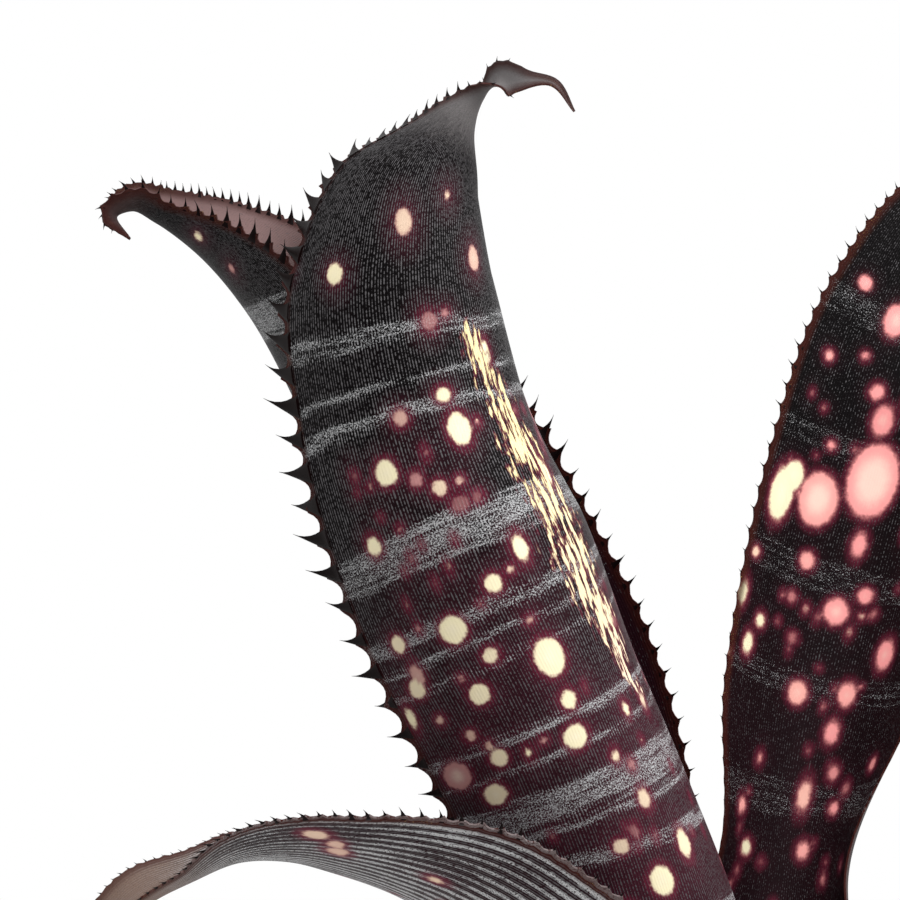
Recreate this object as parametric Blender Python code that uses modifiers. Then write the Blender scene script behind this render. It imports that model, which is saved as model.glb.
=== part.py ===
"""Potted tank bromeliad: a tubular rosette of eight leaves on a short caudex,
rooted in potting mix in a plain turned clay pot.

The pot stands on z = 0 and its axis is the Z axis. The leaves are lofts: each
one is a midrib curve that carries a gutter-shaped cross-section.
"""

import math

import bmesh
import bpy
import numpy as np

# Millimetres to Blender's metres.
MM = 0.001

# Clearance between pieces that touch.
GAP = 0.3

# Pot.
POT_HEIGHT = 108
POT_FOOT_RADIUS = 42
POT_SHOULDER_RADIUS = 54
POT_RIM_RADIUS = 60
POT_RIM_HEIGHT = 22
POT_WALL = 5
POT_FLOOR = 6
DRAIN_RADIUS = 4.5
DRAIN_CIRCLE = 25
DRAIN_COUNT = 3
POT_SEGMENTS = 48

# Potting mix and caudex.
MIX_LEVEL = 97
CAUDEX_RADIUS = 26
CAUDEX_SEGMENTS = 24

# Leaves.
LEAF_THICKNESS = 0.9
LEAF_COLUMNS = 11
TOOTH_HEIGHT = 5
TOOTH_SWEEP = 2
TOOTH_FREEDOM = 0.9
MAX_CUP = math.radians(157)

PLANT = "potted_bromeliad"
CUTTERS = "cutters"


def ring(radius, height, half_width, heading, centre=(0, 0), freedom=0.0):
    """Station of a sheath: the midrib lies on a circle round the centre."""
    angle = math.radians(heading)
    return (centre[0] + radius * math.cos(angle), centre[1] + radius * math.sin(angle), height,
            half_width, radius, heading, 0, freedom)


def blade(x, y, z, half_width, cup, heading, roll=0, freedom=1.0):
    """Station of a free blade: cup is half the angle that the section wraps through."""
    return (x, y, z, half_width, half_width / math.radians(cup), heading, roll, freedom)


# Each leaf's stations from its base to its tip, in millimetres and degrees:
# the midrib's place, half the leaf's flat width, the section's radius, the
# heading that the leaf's outer face turns to, its roll, and its freedom from
# the sheath. The last number of each entry is the rows made between stations.
LEAVES = {
    "inner_leaf": ((
        ring(9, 104, 24, 165), ring(15, 122, 32, 165), ring(20, 150, 36, 165),
        ring(20.5, 172, 37, 169, (-1, 2)), ring(22, 200, 41, 159, (-9, 4), 0.5),
        ring(22.5, 240, 45, 156, (-23, 8), 1), blade(-66.5, 19, 273, 50, 100, 155, -3),
        blade(-78.5, 17.5, 300.5, 44, 92, 170, -6), blade(-89.5, 14, 319.5, 30, 80, 176, -8),
        blade(-100.5, 10, 331.5, 16.5, 78, 180, -8), blade(-107.5, 7, 336.5, 9, 85, 180, -10),
        blade(-112, 4, 338.5, 6.5, 90, 180, -10), blade(-115, 2, 337, 4.6, 70, 180),
        blade(-112, 1, 332.5, 1, 60, 180)), 2),
    "front_leaf": ((
        ring(11, 103, 28, -65), ring(17, 122, 36, -65), ring(22, 150, 38, -65),
        ring(22.5, 172, 37, -65, (-5, 0)), ring(22.5, 200, 37, -65, (-14, 0), 0.5),
        ring(24.5, 218, 37, -60, (-23, 0), 0.8), ring(27, 242, 37.5, -57, (-35.3, -1), 1),
        ring(26.5, 274, 41, -63, (-46.5, -2), 1), ring(23.8, 302, 38, -60, (-57, -3), 1),
        blade(-49.5, -23.5, 326, 34, 94, -59), blade(-49, -20.5, 343, 23, 92, -59),
        blade(-45.3, -18, 353.5, 7.6, 84, -60), blade(-42, -17, 358.3, 3.5, 60, -60, 25),
        blade(-38.5, -17, 361.5, 4, 30, -60, 85), blade(-33, -17, 361.6, 2.2, 30, -50, 60),
        blade(-28, -17, 361, 1.3, 40, -40, 30), blade(-24, -17, 355.5, 0.5, 40, -40)), 2),
    "back_right_leaf": ((
        ring(13, 102, 26, 46), ring(19.5, 122, 30, 46), ring(25, 150, 31, 46),
        ring(24.5, 176, 29, 52, (8, 6)), blade(26.5, 37, 198, 22.5, 92, 66, 0, 0.5),
        blade(35, 50, 231, 28.5, 80, 72), blade(42.5, 58, 256, 30.5, 74, 72),
        blade(50.5, 64, 281, 31, 68, 70), blade(63, 72, 318, 28, 62, 65),
        blade(75, 79, 342, 21, 60, 60), blade(88, 86, 356, 11, 60, 55),
        blade(98, 91, 360, 3.4, 60, 50), blade(106, 94, 357, 0.5, 60, 45)), 2),
    "front_left_leaf": ((
        ring(15, 101, 34, -125), ring(22, 122, 40, -125), ring(27.5, 150, 40, -125),
        blade(-25, -31, 178, 31, 70, -134, 0, 0.5), blade(-40, -41, 197, 31, 60, -143),
        blade(-57, -48, 209, 32, 50, -155, 5), blade(-68, -51, 213.5, 27, 40, -165, 10),
        blade(-77, -53, 216, 23, 34, -170, 10), blade(-86, -54, 216, 18, 32, -172, 8),
        blade(-94, -54, 213, 12.5, 32, -175), blade(-104, -55, 208, 11, 40, -175, -10),
        blade(-111, -56, 198, 8, 45, -175, -20), blade(-115, -56, 188, 4, 50, -175, -20),
        blade(-117, -56, 176, 0.5, 50, -175)), 2),
    "front_right_leaf": ((
        ring(17, 100, 36, -30), ring(24.5, 122, 40, -30), ring(30, 148, 40, -30),
        blade(36, -22, 168, 33, 68, -30, 0, 0.5), blade(54, -32, 184, 32, 60, -28),
        blade(80, -44, 191, 28, 54, -26), blade(106, -55, 183, 22, 50, -25),
        blade(127, -64, 163, 14, 50, -25), blade(139, -69, 140, 4, 50, -25),
        blade(143, -71, 128, 0.5, 50, -25)), 3),
    "back_left_leaf": ((
        ring(19, 99, 36, 130), ring(26.5, 120, 40, 130), ring(32, 142, 40, 130),
        blade(-28, 38, 157, 34, 68, 128, 0, 0.5), blade(-42, 58, 169, 32, 60, 125),
        blade(-57, 82, 173, 28, 54, 125), blade(-72, 105, 167, 21, 50, 125),
        blade(-82, 121, 153, 13, 50, 125), blade(-88, 130, 136, 4, 50, 125),
        blade(-90, 133, 126, 0.5, 50, 125)), 3),
    "basal_leaf_front": ((
        ring(21, 98, 32, -80), ring(28.5, 114, 34, -80),
        blade(6, -39, 130, 30, 64, -80, 0, 0.5), blade(9, -54, 141, 26, 55, -80),
        blade(12, -70, 145, 20, 50, -80), blade(15, -87, 140, 13, 50, -80),
        blade(17, -99, 128, 4.5, 50, -80), blade(18, -104, 118, 0.5, 50, -80)), 3),
    "basal_leaf_back": ((
        ring(23, 97.5, 34, 50), ring(30, 110, 34, 50),
        blade(27, 32, 124, 29, 64, 50, 0, 0.5), blade(37, 44, 133, 24, 55, 50),
        blade(49, 58, 136, 18, 50, 50), blade(60, 71, 131, 11, 50, 50),
        blade(67, 79.5, 121, 4, 50, 50), blade(70, 83, 112, 0.5, 50, 50)), 3),
}

LEAF_COLOURS = {
    "inner_leaf": (0.060, 0.032, 0.034),
    "front_leaf": (0.045, 0.030, 0.034),
    "back_right_leaf": (0.030, 0.026, 0.028),
    "front_left_leaf": (0.110, 0.100, 0.100),
    "front_right_leaf": (0.075, 0.062, 0.064),
    "back_left_leaf": (0.060, 0.050, 0.052),
    "basal_leaf_front": (0.080, 0.060, 0.055),
    "basal_leaf_back": (0.070, 0.052, 0.048),
}


def clear_scene():
    """Remove every object of the scene that the script starts in."""
    for item in list(bpy.data.objects):
        bpy.data.objects.remove(item)


def make_collection(name):
    """New collection under the scene's own."""
    collection = bpy.data.collections.new(name)
    bpy.context.scene.collection.children.link(collection)
    return collection


def make_material(name, colour, roughness, metallic=0.0):
    """Plain Principled material."""
    material = bpy.data.materials.new(name)
    material.use_nodes = True
    shader = material.node_tree.nodes["Principled BSDF"]
    shader.inputs["Base Color"].default_value = (*colour, 1.0)
    shader.inputs["Roughness"].default_value = roughness
    shader.inputs["Metallic"].default_value = metallic
    return material


def add_object(name, mesh, collection, material=None):
    """Link a mesh as a named, smooth-shaded object."""
    mesh.shade_smooth()
    mesh.set_sharp_from_angle(angle=math.radians(40))
    item = bpy.data.objects.new(name, mesh)
    collection.objects.link(item)
    if material:
        mesh.materials.append(material)
    return item


def turn(name, profile, segments, collection, material):
    """Solid of revolution: the profile runs down the outer side from the axis to the axis."""
    mesh = bpy.data.meshes.new(name)
    points = [(radius * MM, 0, height * MM) for radius, height in profile]
    mesh.from_pydata(points, [(i, i + 1) for i in range(len(points) - 1)], [])
    item = add_object(name, mesh, collection, material)
    screw = item.modifiers.new("turn", "SCREW")
    screw.steps = segments
    screw.render_steps = segments
    screw.use_merge_vertices = True
    screw.merge_threshold = 0.01 * MM
    screw.use_smooth_shade = True
    return item


def pot_wall_radius(height):
    """Outer radius of the pot's tapered body at a height."""
    share = height / (POT_HEIGHT - POT_RIM_HEIGHT)
    return POT_FOOT_RADIUS + (POT_SHOULDER_RADIUS - POT_FOOT_RADIUS) * share


def pot_profile():
    """Section of the pot from the middle of its floor, over the rim, to the foot."""
    shoulder = POT_HEIGHT - POT_RIM_HEIGHT
    inner_top = POT_SHOULDER_RADIUS + 0.6
    return [
        (0, POT_FLOOR),
        (pot_wall_radius(POT_FLOOR) - POT_WALL - 2, POT_FLOOR),
        (pot_wall_radius(POT_FLOOR) - POT_WALL, POT_FLOOR + 2),
        (pot_wall_radius(shoulder) - POT_WALL, shoulder - 2),
        (inner_top, shoulder + 5),
        (inner_top + 0.6, POT_HEIGHT - 1.5),
        (inner_top + 2, POT_HEIGHT),
        (POT_RIM_RADIUS - 1.5, POT_HEIGHT),
        (POT_RIM_RADIUS, POT_HEIGHT - 1.5),
        (POT_RIM_RADIUS - 1, shoulder + 1),
        (POT_RIM_RADIUS - 2, shoulder),
        (POT_SHOULDER_RADIUS, shoulder),
        (POT_FOOT_RADIUS + 0.3, 2),
        (POT_FOOT_RADIUS - 1.5, 0),
        (0, 0),
    ]


def make_pot(collection, cutters):
    """Clay pot with a collar rim and drain holes clear of the middle of its foot."""
    clay = make_material("clay", (0.42, 0.16, 0.085), 0.85)
    pot = turn("pot", pot_profile(), POT_SEGMENTS, collection, clay)
    for index in range(DRAIN_COUNT):
        angle = 2 * math.pi * index / DRAIN_COUNT
        mesh = bpy.data.meshes.new(f"drain_{index + 1}")
        shape = bmesh.new()
        bmesh.ops.create_cone(shape, cap_ends=True, segments=16, radius1=DRAIN_RADIUS * MM,
                              radius2=DRAIN_RADIUS * MM, depth=4 * POT_FLOOR * MM)
        shape.to_mesh(mesh)
        shape.free()
        cutter = add_object(mesh.name, mesh, cutters)
        cutter.location = (DRAIN_CIRCLE * math.cos(angle) * MM,
                           DRAIN_CIRCLE * math.sin(angle) * MM, 0)
        cutter.hide_render = True
        cutter.display_type = "WIRE"
        cut = pot.modifiers.new(mesh.name, "BOOLEAN")
        cut.operation = "DIFFERENCE"
        cut.object = cutter


def caudex_profile():
    """Section of the short caudex: growing tip, leaf seat, then root crown."""
    seat_top = 103.4
    seat_inner = 8.3
    seat_outer = CAUDEX_RADIUS - 2
    seat_low = seat_top - (seat_outer - seat_inner) / 2
    return [
        (0, 112), (4, 109.5), (7.2, 105), (seat_inner - 0.6, seat_top),
        (seat_outer, seat_low), (CAUDEX_RADIUS, seat_low - 2.5), (24, 87), (16, 75), (8, 65),
        (0, 61),
    ]


def mix_profile():
    """Section of the potting mix: socket for the root crown, top, wall and bottom."""
    shoulder = POT_HEIGHT - POT_RIM_HEIGHT
    socket = [(0, 61 - 2 * GAP), (8.3, 65 - 2 * GAP), (16.6, 75 - 2 * GAP), (24.8, 87 - GAP),
              (CAUDEX_RADIUS + 2 * GAP, 93), (CAUDEX_RADIUS + 3 * GAP, MIX_LEVEL - 1)]
    wall = [(POT_SHOULDER_RADIUS + 0.6 - GAP, MIX_LEVEL),
            (POT_SHOULDER_RADIUS + 0.3 - GAP, shoulder + 5.2),
            (pot_wall_radius(shoulder) - POT_WALL - 2 * GAP, shoulder - 2),
            (pot_wall_radius(POT_FLOOR) - POT_WALL - GAP, POT_FLOOR + 2 + GAP),
            (pot_wall_radius(POT_FLOOR) - POT_WALL - 2 - GAP, POT_FLOOR + GAP)]
    return socket + [(36, MIX_LEVEL + 1)] + wall + [(0, POT_FLOOR + GAP)]


def along_curve(knots, values, at):
    """Cubic Hermite curve through the values at the knots."""
    values = np.asarray(values, dtype=float)
    slopes = np.gradient(values, knots, axis=0)
    span = np.clip(np.searchsorted(knots, at, side="right") - 1, 0, len(knots) - 2)
    length = knots[span + 1] - knots[span]
    t = (at - knots[span]) / length
    if values.ndim > 1:
        length, t = length[:, None], t[:, None]
    return ((2 * t**3 - 3 * t**2 + 1) * values[span] + (t**3 - 2 * t**2 + t) * length * slopes[span]
            + (3 * t**2 - 2 * t**3) * values[span + 1] + (t**3 - t**2) * length * slopes[span + 1])


def unit(vectors):
    """Vectors scaled to length one."""
    return vectors / np.linalg.norm(vectors, axis=-1, keepdims=True)


def leaf_surface(stations, rows_per_span):
    """Middle surface of a leaf.

    The midrib is a curve through the stations. At each row the section is an
    arc whose middle is the midrib and whose hollow side faces the rosette's
    axis. It bends a little less towards its margins where the blade is free.
    """
    stations = np.array(stations, dtype=float)
    places = stations[:, :3]
    steps = np.linalg.norm(np.diff(places, axis=0), axis=1)
    knots = np.concatenate([[0], np.cumsum(steps)])
    shares = np.arange(rows_per_span) / rows_per_span
    at = np.concatenate([(knots[:-1, None] + steps[:, None] * shares).ravel(), knots[-1:]])
    midrib = along_curve(knots, places, at)
    half_width, radius, heading, roll, freedom = (
        along_curve(knots, stations[:, column], at) for column in range(3, 8))
    freedom = np.clip(freedom, 0, 1)[:, None]
    forward = unit(np.gradient(midrib, at, axis=0))
    forward = unit((1 - freedom) * np.array([0, 0, 1.0]) + freedom * forward)
    heading, roll = np.radians(heading), np.radians(roll)[:, None]
    level = np.stack([-np.sin(heading), np.cos(heading), np.zeros_like(heading)], axis=1)
    keel = unit(np.cross(level, forward))
    side = np.cross(forward, keel)
    keel, side = (keel * np.cos(roll) + side * np.sin(roll),
                  side * np.cos(roll) - keel * np.sin(roll))
    cup = np.clip(half_width / radius, 0.1, MAX_CUP)[:, None]
    # The section's direction is integrated on a fine scale, then sampled.
    fine = np.linspace(-1, 1, 20 * (LEAF_COLUMNS - 1) + 1)
    angle = cup * fine * (1 + freedom * (0.15 - 0.30 * fine**2))
    across = half_width[:, None] * (running_sum(np.cos(angle), fine))[:, ::20]
    inward = half_width[:, None] * (running_sum(np.sin(angle), fine))[:, ::20]
    return (midrib[:, None] + across[..., None] * side[:, None] - inward[..., None] * keel[:, None],
            freedom[:, 0], half_width)


def running_sum(values, along):
    """Trapezoid integral of each row from the middle of the range."""
    step = along[1] - along[0]
    total = np.cumsum((values[:, 1:] + values[:, :-1]) / 2 * step, axis=1)
    total = np.concatenate([np.zeros((len(values), 1)), total], axis=1)
    return total - total[:, len(along) // 2][:, None]


def margin_teeth(points, freedom, half_width, column, inner_column):
    """Tips of the spines on one margin: one for each stretch of free margin."""
    base = (points[1:, column] + points[:-1, column]) / 2
    outward = unit(points[:, column] - points[:, inner_column])
    outward = (outward[1:] + outward[:-1]) / 2
    forward = unit(points[1:, column] - points[:-1, column])
    size = np.clip(half_width / 30, 0.3, 1)
    size = ((size[1:] + size[:-1]) / 2)[:, None]
    tips = base + size * (TOOTH_HEIGHT * outward + TOOTH_SWEEP * forward)
    return tips, (freedom[:-1] >= TOOTH_FREEDOM) & (half_width[1:] > 2.5)


def make_leaf(name, stations, rows_per_span, collection):
    """Strap leaf with spined margins, as an open loft given its thickness by Solidify."""
    points, freedom, half_width = leaf_surface(stations, rows_per_span)
    rows, columns = points.shape[:2]
    shape = bmesh.new()
    grid = [[shape.verts.new(place * MM) for place in row] for row in points]
    for row in range(rows - 1):
        for column in range(columns - 1):
            shape.faces.new((grid[row][column], grid[row][column + 1],
                             grid[row + 1][column + 1], grid[row + 1][column]))
    for column, inner_column in ((0, 1), (columns - 1, columns - 2)):
        tips, wanted = margin_teeth(points, freedom, half_width, column, inner_column)
        for row in np.flatnonzero(wanted):
            tip = shape.verts.new(tips[row] * MM)
            base = [grid[row][column], grid[row + 1][column]]
            if column == 0:
                base.reverse()
            shape.faces.new((base[0], tip, base[1]))
    mesh = bpy.data.meshes.new(name)
    shape.to_mesh(mesh)
    shape.free()
    material = make_material(name + "_skin", LEAF_COLOURS[name], 0.55)
    leaf = add_object(name, mesh, collection, material)
    solidify = leaf.modifiers.new("thickness", "SOLIDIFY")
    solidify.thickness = LEAF_THICKNESS * MM
    solidify.offset = 0


def main():
    """Build the plant and its pot."""
    clear_scene()
    plant = make_collection(PLANT)
    cutters = make_collection(CUTTERS)
    make_pot(plant, cutters)
    turn("potting_mix", mix_profile(), POT_SEGMENTS, plant,
         make_material("bark_mix", (0.060, 0.038, 0.025), 0.95))
    turn("caudex", caudex_profile(), CAUDEX_SEGMENTS, plant,
         make_material("caudex_skin", (0.150, 0.105, 0.060), 0.80))
    for name, (stations, rows_per_span) in LEAVES.items():
        make_leaf(name, stations, rows_per_span, plant)


main()
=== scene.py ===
"""Potted tank bromeliad: spined, banded and spotted leaves in a clay pot.

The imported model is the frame. Each leaf, the pot and the potting mix get a
finer surface in its place; the caudex keeps its own solid with a new finish.
Lengths inside the functions are millimetres unless a name says otherwise.
"""

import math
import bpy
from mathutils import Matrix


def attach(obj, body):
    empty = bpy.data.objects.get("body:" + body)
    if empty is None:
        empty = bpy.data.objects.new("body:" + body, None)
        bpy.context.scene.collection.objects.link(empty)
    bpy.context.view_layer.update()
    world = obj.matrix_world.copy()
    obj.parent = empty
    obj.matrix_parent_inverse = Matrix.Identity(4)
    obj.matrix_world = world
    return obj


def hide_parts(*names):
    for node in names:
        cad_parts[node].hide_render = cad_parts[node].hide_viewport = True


bl_info = {
    "name": "Potted bromeliad",
    "version": (1, 0, 0),
    "blender": (4, 5, 0),
    "location": "3D View > Sidebar > Bromeliad",
    "description": "Builds the spotted leaves, the clay pot and the potting mix",
    "category": "Add Mesh",
}

import bmesh
import bpy
import numpy as np
from mathutils import Vector

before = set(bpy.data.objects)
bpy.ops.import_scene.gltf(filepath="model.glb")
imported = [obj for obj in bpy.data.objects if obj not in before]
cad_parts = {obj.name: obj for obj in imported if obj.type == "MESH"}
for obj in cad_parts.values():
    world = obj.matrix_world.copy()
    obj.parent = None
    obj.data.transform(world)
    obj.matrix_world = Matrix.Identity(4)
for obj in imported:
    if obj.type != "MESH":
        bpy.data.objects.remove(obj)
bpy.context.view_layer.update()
PIECE_BODY = "root"
MM = 0.001

# Stage, in metres. A softbox: name, place, size and share of the overhead power.
CAMERA_PLACE = (-0.048, -0.55, 0.290)
LIT_POINT = Vector((-0.03, 0.0, 0.22))
SOFTBOXES = (("overhead", (0.15, -0.25, 0.95), 0.7, 1.0), ("side", (0.9, -0.35, 0.5), 0.6, 1 / 3))
FRONT_LIGHT = 0.30
FLOOR_SEGMENTS = 96

# The section of a leaf is worked out on this many shares of its half width.
FINE = np.linspace(-1, 1, 481)
MAX_CUP = math.radians(157)

# Colours that the leaves share, and the farthest that a spot is felt, in millimetres.
# PAINTED_BACKLIT_MAUVE is painted backlight: the inner face as it shines when lit through from
# behind.
PAINTED_BACKLIT_MAUVE = (0.240, 0.155, 0.150)
PALE_HEART = (0.950, 0.860, 0.700)
CREAM_DASH = (0.90, 0.78, 0.42)
PINK_DASH = (0.90, 0.72, 0.56)
OCHRE_FLAW = (0.300, 0.180, 0.070)
FAR_FROM_SPOT = 9.0
SMALLEST_SPINE = 0.08


# ---------------------------------------------------------------------------
# Settings
# ---------------------------------------------------------------------------

def length_setting(name, description, default):
    """Length in metres."""
    return bpy.props.FloatProperty(name=name, description=description, default=default,
                                   min=0.0, precision=5, unit="LENGTH")


def share_setting(name, description, default):
    """Number from 0 to 1."""
    return bpy.props.FloatProperty(name=name, description=description, default=default,
                                   min=0.0, max=1.0, subtype="FACTOR")


def colour_setting(name, description, default):
    """Linear colour."""
    return bpy.props.FloatVectorProperty(name=name, description=description, default=default,
                                         size=3, min=0.0, max=1.0, subtype="COLOR")


class BromeliadLeafSettings(bpy.types.PropertyGroup):
    """Sizes and colours of the leaves."""

    thickness: length_setting("Thickness", "Thickness of a leaf at its midrib", 0.0010)
    margin_thickness: length_setting("Margin thickness", "Thickness at the margins", 0.0004)
    rib_pitch: length_setting("Rib pitch", "Distance between the fine ribs", 0.00066)
    grain: length_setting("Scurf grain", "Size of the scurf's pale flecks", 0.00034)
    dark: colour_setting("Dark ground", "Ground of the upper leaf", (0.0040, 0.0030, 0.0034))
    maroon: colour_setting("Maroon ground", "Ground of the lower leaf", (0.044, 0.010, 0.017))
    crimson: colour_setting("Crimson", "Halo round a spot", (0.125, 0.014, 0.032))
    pink: colour_setting("Pink", "Middle of a cool spot", (0.480, 0.225, 0.220))
    cream: colour_setting("Cream", "Middle of a warm spot", (0.930, 0.835, 0.560))
    silver: colour_setting("Silver", "Scurf of the bands", (0.450, 0.452, 0.460))
    dust: colour_setting("Dust", "Scurf between the bands", (0.105, 0.100, 0.104))
    # Painted backlight: the red-brown that the thin margins show when lit from behind.
    painted_margin_backlight: colour_setting("Painted_margin_backlight", "Margins of a leaf", (0.050, 0.011, 0.008))
    thorn: colour_setting("Thorn", "Tips of the spines", (0.006, 0.003, 0.003))
    sheen: share_setting("Gloss", "Reflection of a leaf seen face on", 0.04)


class BromeliadPotSettings(bpy.types.PropertyGroup):
    """Sizes and colours of the pot and what it holds."""

    clay: colour_setting("Clay", "Fired clay", (0.430, 0.165, 0.085))
    clay_dark: colour_setting("Damp clay", "Clay where it stays damp", (0.245, 0.090, 0.050))
    bloom: colour_setting("Bloom", "Mineral bloom on the clay", (0.620, 0.480, 0.390))
    turning: length_setting("Turning lines", "Height of the fine turning lines", 0.00012)
    bark: colour_setting("Bark", "Outside of the bark chips", (0.085, 0.042, 0.024))
    bark_light: colour_setting("Bark face", "Broken face of a chip", (0.260, 0.130, 0.070))
    perlite: colour_setting("Perlite", "White grains in the mix", (0.760, 0.745, 0.700))
    chips: bpy.props.IntProperty(name="Bark chips", description="Chips lying on the mix",
                                 default=380, min=0)
    grains: bpy.props.IntProperty(name="Perlite grains", description="Grains lying on the mix",
                                  default=90, min=0)


class BromeliadStageSettings(bpy.types.PropertyGroup):
    """Floor, light and camera."""

    floor_radius: length_setting("Floor radius", "Radius of the round floor", 0.95)
    floor_colour: colour_setting("Floor colour", "Pale floor", (0.80, 0.80, 0.79))
    surround: bpy.props.FloatProperty(name="Surround", description="Strength of the white "
                                      "surround", default=1.0, min=0.0)
    overhead: bpy.props.FloatProperty(name="Overhead", description="Power of the overhead "
                                      "softbox", default=9.0, min=0.0, unit="POWER")
    lens: bpy.props.FloatProperty(name="Lens", description="Focal length in millimetres",
                                  default=110.0, min=1.0)


# ---------------------------------------------------------------------------
# Shader nodes
# ---------------------------------------------------------------------------

class NodeTree:
    """Shader node tree that starts empty. Every node but the arithmetic comes from add()."""

    def __init__(self, tree):
        self.tree = tree
        self.tree.nodes.clear()

    def add(self, kind, settings=None, values=None):
        """Node of a type: its settings are set first, then its sockets' values or links."""
        node = self.tree.nodes.new(kind)
        for key, value in (settings or {}).items():
            setattr(node, key, value)
        for key, value in (values or {}).items():
            socket = node.inputs[key]
            value = getattr(value, "socket", value)
            if isinstance(value, bpy.types.NodeSocket):
                self.tree.links.new(value, socket)
            elif socket.type == "RGBA" and len(value) == 3:
                socket.default_value = (*value, 1.0)
            else:
                socket.default_value = value
        return node

    def number(self, kind, settings=None, values=None, output=0):
        """Output of a new node, as a number that takes arithmetic."""
        return Number(self, self.add(kind, settings, values).outputs[output])


class Finish(NodeTree):
    """Procedural material."""

    def __init__(self, name):
        self.material = bpy.data.materials.new(name)
        self.material.use_nodes = True
        super().__init__(self.material.node_tree)

    def millimetres(self, place):
        """Place in metres, given in millimetres."""
        return self.scaled(place, (1 / MM, 1 / MM, 1 / MM))

    def object_place(self):
        """Place on the object, in millimetres."""
        return self.millimetres(self.add("ShaderNodeTexCoord").outputs["Object"])

    def attribute(self, name):
        """Number stored on the piece's vertices."""
        return self.number("ShaderNodeAttribute", {"attribute_name": name}, output="Fac")

    def scaled(self, place, scale):
        """Place stretched along its axes."""
        return self.add("ShaderNodeVectorMath", {"operation": "MULTIPLY"},
                        {0: place, 1: scale}).outputs[0]

    def noise(self, place, size, detail=2.0, roughness=0.5):
        """Cloud noise from 0 to 1, with features of a size in the units of its place."""
        return self.number("ShaderNodeTexNoise", {"noise_dimensions": "3D"},
                           {"Vector": place, "Scale": 1.0 / size, "Detail": detail,
                            "Roughness": roughness})

    def point(self, x, y):
        """Place put together from two numbers."""
        return self.add("ShaderNodeCombineXYZ", None, {"X": x, "Y": y}).outputs[0]

    def blend(self, share, first, second):
        """Colour between two colours."""
        node = self.add("ShaderNodeMix", {"data_type": "RGBA", "clamp_factor": True},
                        {"Factor": share})
        for index, colour in ((6, first), (7, second)):
            if isinstance(colour, bpy.types.NodeSocket):
                self.tree.links.new(colour, node.inputs[index])
            else:
                node.inputs[index].default_value = (*colour, 1.0)
        return node.outputs[2]

    def bump(self, height, distance, strength=1.0):
        """Normal of a relief whose full height is a distance in metres."""
        return self.add("ShaderNodeBump", None, {"Height": height, "Distance": distance,
                                                 "Strength": strength}).outputs[0]

    def shade(self, values):
        """Principled shader with these sockets, put on the surface."""
        shader = self.add("ShaderNodeBsdfPrincipled", None, values)
        self.add("ShaderNodeOutputMaterial", None, {"Surface": shader.outputs[0]})
        return self.material


class Number:
    """Shader value that adds its Math nodes as it is used in an expression."""

    def __init__(self, finish, socket):
        self.finish = finish
        self.socket = socket

    def maths(self, operation, *values):
        """Math node on the values."""
        return self.finish.number("ShaderNodeMath", {"operation": operation},
                                  dict(enumerate(values)))

    def __add__(self, other):
        return self.maths("ADD", self, other)

    def __radd__(self, other):
        return self.maths("ADD", other, self)

    def __sub__(self, other):
        return self.maths("SUBTRACT", self, other)

    def __rsub__(self, other):
        return self.maths("SUBTRACT", other, self)

    def __mul__(self, other):
        return self.maths("MULTIPLY", self, other)

    def __rmul__(self, other):
        return self.maths("MULTIPLY", other, self)

    def __truediv__(self, other):
        return self.maths("DIVIDE", self, other)

    def cosine(self):
        """Cosine of an angle in radians."""
        return self.maths("COSINE", self)

    def nearest(self):
        """Nearest whole number."""
        return self.maths("ROUND", self)

    def least(self, other):
        """The smaller value."""
        return self.maths("MINIMUM", self, other)

    def most(self, other):
        """The larger value."""
        return self.maths("MAXIMUM", self, other)

    def rise(self, low, high):
        """Smooth step from 0 at low to 1 at high. It falls where low is the larger."""
        flip = low > high
        if flip:
            low, high = high, low
        step = self.finish.number("ShaderNodeMapRange", {"interpolation_type": "SMOOTHSTEP"},
                                  {"Value": self, "From Min": low, "From Max": high})
        return 1 - step if flip else step

    def rise_at(self, threshold, softness):
        """Smooth step round a threshold that is itself a value."""
        return (self - threshold).rise(-softness, softness)


# ---------------------------------------------------------------------------
# Meshes
# ---------------------------------------------------------------------------

def add_piece(name, points, faces, material, node=None, uv=None, values=None):
    """Object at the origin from points in metres, with its UV map, values and frame place."""
    mesh = bpy.data.meshes.new(name)
    mesh.from_pydata(points.tolist(), [], [list(face) for face in faces])
    mesh.materials.append(material)
    if uv is not None:
        corners = np.zeros(len(mesh.loops), dtype=np.int32)
        mesh.loops.foreach_get("vertex_index", corners)
        mesh.uv_layers.new(name="leaf").data.foreach_set(
            "uv", uv[corners].astype(np.float32).ravel())
    for key, numbers in (values or {}).items():
        mesh.attributes.new(key, "FLOAT", "POINT").data.foreach_set(
            "value", np.ascontiguousarray(numbers, dtype=np.float32))
    mesh.shade_smooth()
    mesh.set_sharp_from_angle(angle=math.radians(50))
    mesh.update()
    piece = bpy.data.objects.new(name, mesh)
    bpy.context.scene.collection.objects.link(piece)
    if node:
        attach(piece, PIECE_BODY)
        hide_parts(node)
    return piece


def grid_faces(rows, columns):
    """Quads of a grid of points whose last column joins the first."""
    row = np.arange(rows - 1)[:, None] * columns
    column = np.arange(columns)[None]
    beside = (column + 1) % columns
    return np.stack([row + column, row + beside, row + columns + beside,
                     row + columns + column], axis=-1).reshape(-1, 4)


def unit(vectors):
    """Vectors scaled to length one."""
    return vectors / np.maximum(np.linalg.norm(vectors, axis=-1, keepdims=True), 1e-12)


def smooth_step(low, high, values):
    """0 below low and 1 above high, with a smooth rise between them."""
    share = np.clip((values - low) / (high - low), 0, 1)
    return share * share * (3 - 2 * share)


# ---------------------------------------------------------------------------
# Leaves
# ---------------------------------------------------------------------------

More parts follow.
